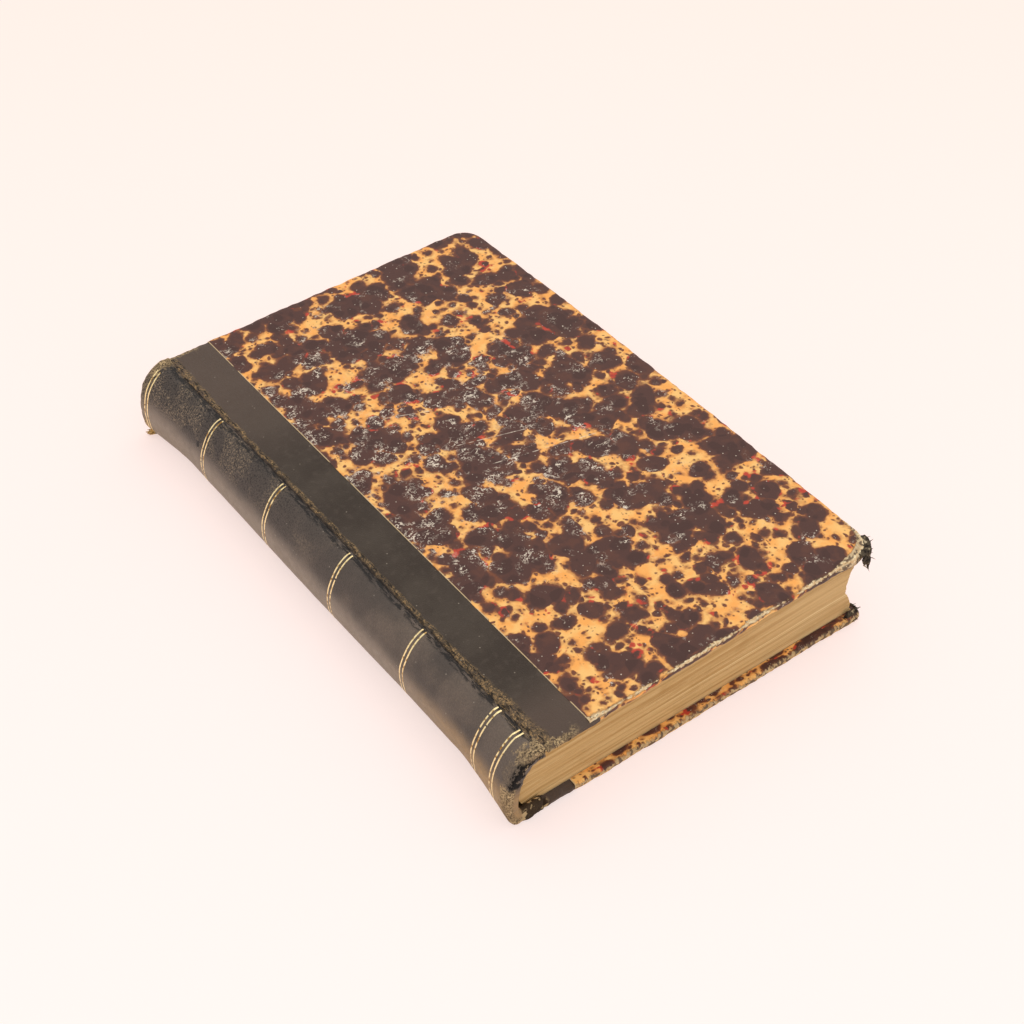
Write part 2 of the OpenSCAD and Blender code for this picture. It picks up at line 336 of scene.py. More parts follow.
def spine_surface(angle, y):
    """Outer radius at an angle and a distance y from the middle: a hollow grip with flared ends."""
    flare = (max(0, abs(y) - 70) / 25) ** 1.3
    body = smooth_outline(body_outline, angle)
    waist = clamp(-y / 45) * clamp((10 - angle) / 40)
    radius = body - 0.6 * waist * (1 - min(1, flare)) + (smooth_outline(end_outline, angle) - body) * flare
    return radius + (0.10 * rough(angle / 5, y, 0, 16, 2) + 0.05 * rough(angle / 5, y, 0, 4, 4))


def on_spine(angle, y, out=0.0):
    """Point of the spine's outer surface, or a distance out from it, between the planes of the covers."""
    radius = spine_surface(angle, y) + out
    a = math.radians(angle)
    z = mid_z + radius * math.sin(a)
    near_end = min(1, max(0, abs(y) - 84) / 11)
    lowest = 0.4 - 0.35 * near_end - out
    highest = 23.85 + 1.25 * near_end ** 2 + out
    return axis_x - radius * math.cos(a), y, min(max(z, lowest), highest)


def spine_section():
    """The wall with its two rolled caps, as (distance under the outer surface, height along the book)."""
    roll_r, roll_y, inner = 1.05, 93.95, 3.9
    outer = [(0.0, -92.9 + 185.8 * i / 250) for i in range(251)]
    turns = [math.pi * i / 12 for i in range(1, 12)]
    head_roll = [(roll_r - roll_r * math.cos(a), roll_y + roll_r * math.sin(a)) for a in turns[:6]]
    head_roll += [(inner - roll_r + roll_r * math.sin(a), roll_y + roll_r * math.cos(a)) for a in turns]
    inside = [(wall, 92.7 - 185.4 * i / 60) for i in range(61)]
    return outer + head_roll + inside + [(d, -y) for d, y in reversed(head_roll)]


def add_thread(piece, path, width):
    """Adds a thin tapering thread through points in millimetres to a mesh, in object mode."""
    mesh = bmesh.new()
    mesh.from_mesh(piece.data)
    rings = []
    for i, p in enumerate(path):
        half = width / 2 * (1 - 0.8 * i / (len(path) - 1))
        rings.append([mesh.verts.new((Vector(p) + Vector(d) * half) * mm) for d in (
            (0.6, 0.6, 0.4), (-0.6, 0.6, -0.4), (-0.6, -0.6, 0.4), (0.6, -0.6, -0.4))])
    for ring, after in zip(rings, rings[1:]):
        for k in range(4):
            mesh.faces.new((ring[k], ring[(k + 1) % 4], after[(k + 1) % 4], after[k]))
    mesh.faces.new(rings[0][::-1])
    mesh.faces.new(rings[-1])
    mesh.to_mesh(piece.data)
    mesh.free()


def new_piece(name, points, edges, faces):
    """A piece from points in metres and the edges or faces between them."""
    mesh = bpy.data.meshes.new(name)
    mesh.from_pydata(points, edges, faces)
    piece = bpy.data.objects.new(name, mesh)
    bpy.context.collection.objects.link(piece)
    return piece


turn_r = 11.7
section = spine_section()
corners = [((d - turn_r) * mm, y * mm, 0) for d, y in section]
sides = [(i, (i + 1) % len(section)) for i in range(len(section))]
spine = new_piece("spine_leather_worn", corners, sides, [])
take(spine, "EDIT")
bpy.ops.mesh.select_all(action="SELECT")
bpy.ops.transform.rotate(value=math.radians(-half_arc), orient_axis="Y", center_override=(0, 0, 0))
bpy.ops.mesh.spin(steps=arc_steps, angle=math.radians(2 * half_arc), center=(0, 0, 0), axis=(0, 1, 0))
bpy.ops.object.mode_set(mode="OBJECT")


def unrolled(x, y, z):
    """Angle round the turned wall, place along it and depth under its outer surface."""
    return math.degrees(math.atan2(z, -x)), y, turn_r - math.hypot(x, z)


def bend_spine(x, y, z):
    """Puts a point of the turned wall where the worn spine has it: creased, frayed and torn at the tail."""
    angle, y, depth = unrolled(x, y, z)
    crease = 0.0
    if depth < 0.3:
        fine, sharp = rough(angle / 5, 0.5 * y, 0, 1.3, 7), rough(angle / 5, y, 0, 0.9, 8)
        upper = clamp((angle - 12) / 20)
        crease = -0.10 * upper * max(0, fine) - 0.05 * upper * abs(sharp)
    frayed = max(0, (abs(y) - 93.6) / 1.4) * 0.5 * rough(x, 0.3 * y, z, 1.6, 11)
    out = -depth * (1 if depth < 1.2 else 1.12) + crease
    x, y, z = on_spine(angle, y + frayed, out)
    torn = 0.7 * max(0, 1 - z / 3.0) * max(0, (-93.2 - y) / 1.8)
    return x, max(-95.0, min(95.0, y)) - torn, z


record_on_points(spine, "roll", unrolled)
reshape(spine, bend_spine)
take(spine, "EDIT")
bpy.ops.mesh.select_mode(type="EDGE")
bpy.ops.mesh.select_all(action="DESELECT")
bpy.ops.mesh.select_non_manifold(extend=False)
bpy.ops.mesh.fill()
bpy.ops.object.mode_set(mode="OBJECT")
# broken threads under the torn tail cap, and the tuft of fibres at the foot of the head cap
for k in range(7):
    root = Vector((-57.8 + 0.75 * k, -94.3, 1.9 + 0.9 * rough(k, 0, 0, 0.7, 2)))
    way = Vector((0.8 * rough(k, 0, 0, 0.7, 3), -1.0 - 0.5 * rough(k, 0, 0, 0.7, 4), 0.2 - 0.6 * k / 6))
    add_thread(spine, [root, root + 0.5 * way, root + way], 0.5)
for k in range(22):
    root = Vector((-60.6, 90.6 + 0.11 * k, 1.3 + 0.8 * abs(rough(k, 0, 0, 0.7, 5))))
    reach = 1.3 + 1.6 * math.sin(math.pi * k / 21) * (0.8 + 0.5 * rough(k, 0, 0, 0.7, 12))
    way = Vector((-reach, 1.6 * rough(k, 0, 0, 0.7, 6), 0.9 * rough(k, 0, 0, 0.7, 7)))
    add_thread(spine, [root, root + 0.55 * way, root + way + Vector((0.1, 0.5, -0.1))], 1.1)
close_mesh(spine, 50)
record_on_points(spine, "rest", lambda x, y, z: (x, y, z))


def worn_leather(name, on_cover):
    """Old black calf: charcoal with a painted grey sheen on the lower half of the round, rubbed to tan where
    it bends, with cracks and pale specks.

    Its marks are placed by where the leather lies in the closed book. On the spine the angle, place and depth
    of the unrolled wall are kept too. The grain of calf, near 0.1 mm, is drawn coarser so that it shows."""
    m = new_material(name)
    rest = add(m, "Attribute", attribute_name="rest").outputs["Vector"]
    x, y, z = add(m, "SeparateXYZ", rest).outputs
    roll = add(m, "Attribute", attribute_name="roll").outputs["Vector"]
    _, roll_y, under = add(m, "SeparateXYZ", roll).outputs
    cloud = add(m, "TexNoise", rest, Scale=0.07, Detail=3.0)
    patch = add(m, "MapRange", add(m, "TexNoise", rest, Scale=0.28, Detail=2.0), 0.40, 0.54, 0.4, 1.0)
    mottle = add(m, "TexNoise", rest, Scale=0.5, Detail=4.0)
    grit = add(m, "TexNoise", rest, Scale=1.6, Detail=3.0, Roughness=0.7)
    crumb = add(m, "TexNoise", rest, Scale=2.0, Detail=4.0, Roughness=0.75)
    grain = add(m, "TexVoronoi", rest, Scale=1.5, feature="DISTANCE_TO_EDGE")
    along_run = add(m, "VectorMath", rest, (1.4, 0.35, 1.4), operation="MULTIPLY")
    fibre = add(m, "TexNoise", along_run, Scale=1.0, Detail=4.0, Roughness=0.7)

    # the dye, faded in clouds, and on the covers browner towards head and tail
    faded = ("#41372f", "#4d433a") if on_cover else ("#544a43", "#6f6156")
    tone = lay(m, *faded, band(m, cloud, 0.35, 0.68))
    if on_cover:
        pale = plus(m, band(m, y, 20.0, 75.0), band(m, y, -72.0, -88.0))
        tone = lay(m, tone, "#66554b", pale, 0.65)
    tone = lay(m, tone, "#5f534a", band(m, mottle, 0.5, 0.75), 0.3)
    tone = lay(m, tone, "#756a5f", band(m, grit, 0.60, 0.8), 0.35 if on_cover else 0.6)

    # the lower half of the round: a painted grey sheen for light from the bright floor, browner towards the
    # tail where it is rubbed
    behind = band(m, x, -51.0, -54.0)
    low = times(m, band(m, z, 16.5, 9.5), behind, add(m, "MapRange", mottle, 0.3, 0.7, 0.65, 1.0))
    sheen_and_rubbing = lay(m, "#9a8a7a", "#b6915f", band(m, y, -30.0, -88.0))
    tone = lay(m, tone, sheen_and_rubbing, low, 0.95)
    tone = lay(m, tone, "#8f7858", band(m, z, 12.0, 3.0), behind, band(m, grit, 0.40, 0.62), 0.55)

    # crazing of the upper side: black fissures with tan between them, strongest near the head
    near_head = plus(m, times(m, band(m, y, -30.0, 70.0), 0.85), 0.15)
    crazed = times(m, band(m, z, 13.0, 18.0), band(m, x, -51.8, -53.0), near_head)
    tone = lay(m, tone, "#3a302a", crazed, 0.40)
    tone = lay(m, tone, "#a08a6c", crazed, band(m, crumb, 0.54, 0.61), band(m, cloud, 0.42, 0.50), 0.9)
    tone = lay(m, tone, "#120e0c", crazed, band(m, crumb, 0.48, 0.42), 0.95)

    # the worn ridge along the back edge of the board: dark fibres with tan crumbs, wide near head and tail
    drift = add(m, "VectorMath", rest, (0.0, 0.16, 0.0), operation="MULTIPLY")
    wander = plus(m, add(m, "TexNoise", drift, Scale=1.0, Detail=3.0), -0.5)
    across = plus(m, x, times(m, wander, 2.2))
    half_w = plus(m, times(m, band(m, y, 55.0, 90.0), 0.9), times(m, band(m, y, -45.0, -90.0), 2.0), 0.78)
    from_ridge = add(m, "Math", far_from(m, across, -51.0), half_w, operation="DIVIDE")
    upper = band(m, z, 18.0, 20.0)
    ridge = times(m, band(m, from_ridge, 1.2, 0.5), upper)
    tone = lay(m, tone, "#65553f", ridge, patch, 0.6)
    tone = lay(m, tone, "#a8875c", ridge, band(m, crumb, 0.49, 0.58), patch)
    tone = lay(m, tone, "#1c1713", ridge, band(m, fibre, 0.50, 0.42), 0.85)
    crack = times(m, band(m, far_from(m, across, -52.8), 1.5, 0.5), band(m, fibre, 0.56, 0.46), upper)
    tone = lay(m, tone, "#15110f", crack, 0.9)

    # head and tail, where the rolled leather is rubbed through to its tan core
    to_end = far_from(m, y)
    near_joint = times(m, band(m, x, -61.0, -56.0), band(m, z, 17.0, 21.0))
    low_tip = most(m, band(m, z, 9.0, 5.0), times(m, band(m, y, 0.0, -1.0), band(m, z, 17.0, 13.0)))
    ragged_end = plus(m, to_end, times(m, plus(m, mottle, -0.5), 8.0))
    if on_cover:
        near_end = times(m, band(m, ragged_end, 93.0, 94.6), band(m, x, -39.0, -46.0), band(m, z, 8.0, 12.0))
    else:
        near_end = times(m, band(m, ragged_end, 90.0, 92.2), band(m, under, 2.4, 1.6))
    rubbed = times(m, near_end, most(m, near_joint, low_tip, 0.18))
    tone = lay(m, tone, "#75624a", rubbed, 0.75)
    tone = lay(m, tone, "#cbae82", rubbed, band(m, crumb, 0.46, 0.55), patch)
    tone = lay(m, tone, "#251c16", rubbed, band(m, crumb, 0.45, 0.38), 0.85)

    # holes in the turned-in leather under the caps: their inside is painted black as shade, with pale torn
    # fibres round it
    shaded_holes_and_fibres = lay(m, lay(m, "#0d0a08", "#4a3826", crumb), "#c4a87c", band(m, mottle, 0.54, 0.60))
    if on_cover:
        broken_and_shaded = times(m, band(m, to_end, 93.0, 94.2), band(m, z, 5.0, 4.0), band(m, x, -48.6, -50.4))
        tone = lay(m, tone, shaded_holes_and_fibres, broken_and_shaded, 0.9)
    else:
        # the black ragged split along the outer side of the tail roll: a crack, painted black as the shade
        # inside the rolled cap
        ragged = plus(m, mottle, times(m, plus(m, crumb, -0.5), 0.8), -0.5)
        into_roll = plus(m, under, times(m, ragged, 4.2))
        split_and_shade = times(m, band(m, into_roll, -0.1, 0.1), band(m, into_roll, 2.5, 2.1), band(m, z, 13.8, 15.8))
        split_and_shade = times(m, split_and_shade, band(m, z, 23.4, 22.0), band(m, roll_y, -93.0, -93.8))
        tone = lay(m, tone, "#0b0908", split_and_shade, 0.97)
        # the hole under the torn tail cap, its inside painted black as shade and ringed by torn fibres
        hole_shade = times(m, band(m, y, -92.4, -93.4), band(m, z, 5.2, 4.4), band(m, x, -58.4, -57.6))
        tone = lay(m, tone, shaded_holes_and_fibres, hole_shade, 0.95)
        # the brown fibres of the tuft at the foot of the head cap
        tuft = times(m, band(m, y, 89.4, 90.2), band(m, z, 3.6, 2.8), band(m, x, -60.9, -61.5))
        tone = lay(m, tone, lay(m, "#9a7a45", "#ecca8c", band(m, crumb, 0.38, 0.54)), tuft)
        broken_and_shaded = most(m, split_and_shade, hole_shade, tuft)
        # a chip in the surface beside the second pair of gold lines
        from_chip = add(m, "VectorMath", roll, (-22.0, -63.2, 0.0), operation="ADD")
        from_chip = add(m, "VectorMath", from_chip, (0.11, 0.75, 0.0), operation="MULTIPLY")
        from_chip = add(m, "VectorMath", from_chip, operation="LENGTH").outputs["Value"]
        chip = band(m, plus(m, from_chip, times(m, mottle, 1.6)), 1.5, 1.35)
        tone = lay(m, tone, "#1a1512", chip, 0.85)

    specks = add(m, "TexVoronoi", rest, Scale=0.45, Randomness=1.0)
    chance = add(m, "SeparateColor", specks.outputs["Color"]).outputs[0]
    speck = band(m, specks.outputs["Distance"], 0.12, 0.05)
    tone = lay(m, tone, "#b8aa98", speck, band(m, chance, 0.72, 0.76), 0.5)

    crumbly = times(m, crumb, most(m, ridge, crazed), 0.9)
    height = plus(m, times(m, band(m, grain, 0.0, 0.18), 0.4), times(m, grit, 0.4), times(m, crack, -0.8))
    height = plus(m, height, crumbly)
    roughness = add(m, "MapRange", most(m, rubbed, broken_and_shaded), 0.0, 1.0, 0.60 if on_cover else 0.48, 0.95)
    shine = 0.18 if on_cover else 0.30
    finish_material(m, tone, roughness, bump=height, depth=0.14, Specular_IOR_Level=shine)
    return m


spine.data.materials.append(worn_leather("calf_black_spine_worn", False))
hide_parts("spine_leather")
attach(spine, "pages_and_spine")

# SPINE CARD
# A strip of grey card behind the leather stiffens the hollow back and has taken its bend. It is cut from
# pressed pulp, so its face is dull with a faint fleck, and only its ends show.
card = add_block("spine_card", (-50, -92.2, 0), (50, 92.2, 6))
cut_along(card, 0, 24)
cut_along(card, 1, 46)
bpy.ops.object.mode_set(mode="OBJECT")
reshape(card, lambda angle, y, d: on_spine(angle, y, -wall - 0.08 - 0.1 * d))
close_mesh(card)


def pressed_pulp(name, scale, detail, dark, light, depth):
    """Dull board or paper, mottled by its own fibres, which are drawn near 1 mm long so that they show."""
    m = new_material(name)
    fibres = add(m, "TexNoise", add(m, "TexCoord").outputs["Object"], Scale=scale, Detail=detail)
    finish_material(m, lay(m, dark, light, fibres), 0.9, bump=fibres, depth=depth)
    return m


card.data.materials.append(pressed_pulp("grey_card_pressed", 1400.0, 3.0, "#6f6455", "#948976", 0.08))
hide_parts("spine_inlay")
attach(card, "pages_and_spine")

# BACK LINING AND SEWING CORDS
# Coarse brown paper glued over the backs of the sections, and five hemp cords that lie in saw cuts under it.
# Neither shows in a whole book: the lining has the paper's fibres and the cords the twist of the hemp.
lining = add_block("back_lining_paper", (6, -89.8, 0), (94, 89.8, 6))
cut_along(lining, 0, 20)
cut_along(lining, 1, 20)
bpy.ops.object.mode_set(mode="OBJECT")


def on_back(t, y, out):
    """Point a distance out from the rounded back of the leaves."""
    x, z = back_of_leaves(t)
    return x - out, y, z


reshape(lining, lambda t, y, d: on_back(t / 100, y, 0.04 + 0.04 * d))
close_mesh(lining)
lining.data.materials.append(pressed_pulp("kraft_paper_glued", 900.0, 3.0, "#8a6f4c", "#b39871", 0.08))
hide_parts("back_lining")
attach(lining, "pages_and_spine")

deselect()
bpy.ops.mesh.primitive_cylinder_add(
    vertices=12, radius=0.55 * mm, depth=76 * mm, location=(50 * mm, 0, 0), rotation=(0, math.pi / 2, 0))
bpy.ops.object.transform_apply(location=True, rotation=True, scale=True)
cords = bpy.context.object
cords.name = cords.data.name = "sewing_cords_recessed"
bpy.ops.object.mode_set(mode="EDIT")
cut_along(cords, 0, 18)
for at in (-76, -38, 38, 76):
    choose(cords, "FACE", lambda c, f: abs(c.y) < 2)
    bpy.ops.mesh.duplicate()
    bpy.ops.transform.translate(value=(0, at * mm, 0))
bpy.ops.object.mode_set(mode="OBJECT")
reshape(cords, lambda t, y, z: on_back(t / 100, y, z - 0.62))
close_mesh(cords)
cords.data.materials.append(hemp)
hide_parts("sewing_cords")
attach(cords, "pages_and_spine")

# GOLD FILLETS
# Seven double lines of gold leaf, pressed with a hot wheel into the leather round the spine.
# The leaf lies a hair over the surface and is broken where hands and cracks have taken it off.
head_fillets, tail_fillets = (3.6, 35, 70.3, 105), (8.2, 17.3, 50)
fillet_w, fillet_pitch, fillet_proud = 0.48, 1.35, 0.05
fillets = [book_h / 2 - d for d in head_fillets] + [d - book_h / 2 for d in tail_fillets]
arc_from, arc_to, arc_cuts, worn_from = -80, 84, 150, 66
points, strips = [], []


def lay_gold(angles, y):
    """Adds one unbroken length of a gold line to the points and faces."""
    first = len(points)
    for a in angles:
        half = fillet_w * (1 + 0.2 * rough(a, y, 0, 6, 5)) / 2
        points.extend(on_spine(a, y + side * half, out) for side, out in (
            (-1, -0.1), (1, -0.1), (1, 0.0), (0, fillet_proud), (-1, 0.0)))
    for i in range(first, len(points) - 5, 5):
        strips.extend((i + j, i + (j + 1) % 5, i + 5 + (j + 1) % 5, i + 5 + j) for j in range(5))
    strips.extend([tuple(range(first, first + 5)), tuple(range(len(points) - 1, len(points) - 6, -1))])


for at in fillets:
    # hands have taken the gold nearest the head off the shoulder
    last_angle = worn_from if at == fillets[0] else arc_to
    for line in (-0.5, 0.5):
        y = at + line * fillet_pitch
        run = []
        for i in range(arc_cuts + 1):
            a = arc_from + (arc_to - arc_from) * i / arc_cuts
            if rough(a, y, at, 4.0, 21) < 0.62 and a < last_angle:
                run.append(a)
            if run and (run[-1] != a or i == arc_cuts):
                if len(run) > 2:
                    lay_gold(run, y)
                run = []
gold_lines = new_piece("gold_lines", [Vector(p) * mm for p in points], [], strips)
close_mesh(gold_lines, 40)

# Gold leaf over a pressed line: bright, softly hammered, thin enough to show brown size where it is rubbed
gilt = new_material("gold_leaf_pressed")
rub = add(gilt, "TexNoise", add(gilt, "TexCoord").outputs["Object"], Scale=900.0, Detail=3.0)
gilt_tone = lay(gilt, "#ffe8b0", "#a57c42", band(gilt, rub, 0.50, 0.66))
finish_material(gilt, gilt_tone, 0.38, bump=rub, depth=0.05, Metallic=1.0)
gold_lines.data.materials.append(gilt)
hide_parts("gold_fillets")
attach(gold_lines, "pages_and_spine")

# BOARDS
# Pressed millboard, 2.1 mm thick, one under each side. Its edges and corners have been crushed and rounded.
# Each layer of a cover is drawn with the hinge line at the origin and its outer face down, then put in place.
paper_t, wrap_t = 0.2, 2.5
corner_r = {"back": 3.0, "front": 8.0}
over_pages = Matrix.Translation((hinge_x, 0, joint_h)) @ Matrix.Rotation(-cover_tilt, 4, "Y")
covers = {"back": Matrix.Translation((hinge_x, 0, 0)), "front": over_pages @ Matrix.Scale(-1, 4, (0, 0, 1))}
crushed_w = 2.2


def round_side(side, inset):
    """A move that rounds the fore corners of a cover's layer, crushes its edges and warps it a little."""
    far_x, half_h, radius = cover_w - inset, book_h / 2 - inset, corner_r[side]
    seed = 0 if side == "front" else 40

    def move(x, y, z):
        dx, dy = x - (far_x - radius), abs(y) - (half_h - radius)
        if dx > 0 and dy > 0:
            scale = max(dx, dy) / math.hypot(dx, dy)
            x, y = far_x - radius + dx * scale, math.copysign(half_h - radius + dy * scale, y)
        margin = min(far_x - x, half_h - abs(y))
        if margin < crushed_w:
            dent = 0.20 + 0.30 * rough(x, y, 0, 9, seed + 1) + 0.35 * rough(x, y, 0, 2.1, seed + 2)
            dent = max(0, dent) * (1 - max(0, margin) / crushed_w) * 0.8
            if far_x - x < crushed_w:
                x -= dent
            if half_h - abs(y) < crushed_w:
                y -= math.copysign(dent, y)
            z += (wrap_t / 2 - z) * 0.35 * dent
        if side == "front":
            # a rim swollen by damp at the tail corner, and a fore edge that bows outwards
            swollen = 1.9 * clamp((26 - (far_x - x) - (half_h + y)) / 20) ** 1.5
            z += swollen * clamp((2.4 - margin) / 1.2) * z / wrap_t
            x += 1.2 * max(0, 1 - (y / 84) ** 2) * max(0, (x - 70) / 46)
            y += 0.04 * max(0, y - 86)
        elif y < -85:
            y -= 0.07 * (-85 - y)
        wave = 0.09 + 0.07 * rough(x, y, 0, 38, 3) + 0.02 * rough(x, y, 0, 6, 4)
        return x, y, z + max(0, wave)
    return move


def put_in_place(piece, side):
    """Puts a layer that was drawn at the origin where its cover lies."""
    piece.data.transform(Matrix.Scale(mm, 4) @ covers[side] @ Matrix.Scale(1 / mm, 4))


def add_side_block(name, from_x, inset, spacing):
    """A cover's layer as a block with soft long edges, cut into cells of an even spacing."""
    high_x, half_h = cover_w - inset, book_h / 2 - inset
    piece = add_block(name, (from_x, -half_h, inset), (high_x, half_h, wrap_t - inset))

    def is_long_edge(middle, edge):
        return abs(middle.z - wrap_t / 2) > 0.5 and middle.x > from_x + 0.1
    choose(piece, "EDGE", is_long_edge)
    bpy.ops.mesh.bevel(offset=(0.75 - inset) * mm, segments=4, affect="EDGES")
    cut_along(piece, 0, round((high_x - from_x) / spacing) - 1)
    cut_along(piece, 1, round(2 * half_h / spacing) - 1)
    return piece


def pare(x, y, z):
    """Thins the board where the leather lies on it."""
    return (x, y, z) if x > 18.5 else (x, 0.992 * y, wrap_t / 2 + 0.7 * (z - wrap_t / 2))


board_pulp = pressed_pulp("millboard_pressed", 1100.0, 4.0, "#a58c66", "#d8c59c", 0.15)
for side in covers:
    board = add_side_block(side + "_millboard", 3.2, paper_t + 0.1, 3.0)
    bpy.ops.object.mode_set(mode="OBJECT")
    reshape(board, round_side(side, paper_t + 0.1))
    reshape(board, pare)
    put_in_place(board, side)
    close_mesh(board)
    board.data.materials.append(board_pulp)
    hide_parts(side + "_board")
    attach(board, side + "_cover")

# LEATHER OF THE SIDES
# A strip of the same calf along each joint. It bends over the joint onto the spine, covers the back edge of
# the board, is turned in at head and tail, and goes under the edge of the marbled paper.
leather_end = {"front": 18.0, "back": 14.4}
# (distance from the hinge line, depth under the plane of the outer face), over joint, ridge and board
leather_line = [(-1.6, 1.5), (-0.9, 1.0), (-0.4, 0.72), (0.0, 0.5), (0.4, 0.26), (0.8, 0.02), (1.4, -0.14),
                (2.2, -0.04), (3.4, 0.06), (14.6, 0.12), (15.4, 0.22), (18.5, 0.24)]


def drape_leather(side):
    """A move that lays a block of leather over the joint, the ridge and the board."""
    seed = 0 if side == "front" else 30
    shift = leather_end["front"] - leather_end[side]

    def move(x, y, z):
        top = along_line(leather_line, x + (shift if x > 5 else 0))
        ridge = math.exp(-((x - 1.3) / 1.3) ** 2)
        top += ridge * (0.16 * rough(0, y, 0, 5, seed + 1) + 0.10 * rough(x, y, 0, 1.4, seed + 2))
        top += 0.16 * math.exp(-((x - 0.5) / 0.7) ** 2) * abs(rough(x, y, 0, 1.6, seed + 3))
        top += 0.03 * rough(x, y, 0, 12, seed + 4)
        if side == "back":
            # the book lies on this side, so nothing goes under the table
            top = max(0.02, top)
        bottom = 2.35 if x > 1.3 else top + 0.55
        end = max(0, abs(y) - 93.2) / 1.8
        edge_round = (bottom - top) / 2 * (1 - math.sqrt(max(0, 1 - min(1, end) ** 2))) * 0.55
        top, bottom = top + edge_round, bottom - edge_round
        y += math.copysign(0.25 * end * rough(x, 0, z, 1.5, seed + 5) - 0.2 * end, y)
        return x, y, top + (bottom - top) * (z / wrap_t)
    return move


side_calf = worn_leather("calf_black_sides_worn", True)
joint_from, joint_to = hinge_x - 1.3, hinge_x + 1.0
for side in covers:
    low, high = (leather_line[0][0], -book_h / 2, 0), (leather_end[side], book_h / 2, wrap_t)
    strip = add_block(side + "_leather_strip", low, high)
    cut_along(strip, 0, 48)
    cut_along(strip, 1, 240)
    choose(strip, "EDGE", lambda middle, edge: abs(edge.verts[0].co.z - edge.verts[1].co.z) > 1 * mm)
    bpy.ops.mesh.subdivide(number_cuts=3)
    bpy.ops.object.mode_set(mode="OBJECT")
    reshape(strip, drape_leather(side))
    put_in_place(strip, side)
    close_mesh(strip, 50)
    record_on_points(strip, "rest", lambda x, y, z: (x, y, z))
    strip.data.materials.append(side_calf)
    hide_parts(side + "_leather")
    height = (joint_h if side == "front" else 0) * mm
    start, end = (joint_from * mm, 0, height), (joint_to * mm, 0, height)
    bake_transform(strip)

# MARBLED PAPER
# One sheet over each side, sprinkled with drops of ink on size so that dark blots float on an amber ground
# with some red, then glazed. It is turned in over three edges, worn down to its pulp there, and scuffed.
turn_in = 12
paper_from = {"front": 15.0, "back": 11.4}


def unfold(x, y, z):
    """Where a point of the wrapped sheet lies on the flat sheet, and how far it is from the outer arris."""
    inner = z > wrap_t / 2 + 0.6
    to_fore, to_end = cover_w - x, book_h / 2 - abs(y)
    margin = min(to_fore, to_end)
    flat_x, flat_y = x, y
    if to_fore < to_end:
        flat_x = x + z if to_fore < 0.8 else (cover_w + wrap_t + to_fore if inner else x)
    elif to_end < 0.8 or inner:
        flat_y = math.copysign(abs(y) + z if to_end < 0.8 else book_h / 2 + wrap_t + to_end, y)
    return flat_x, flat_y, wrap_t + margin if inner else max(margin, z)


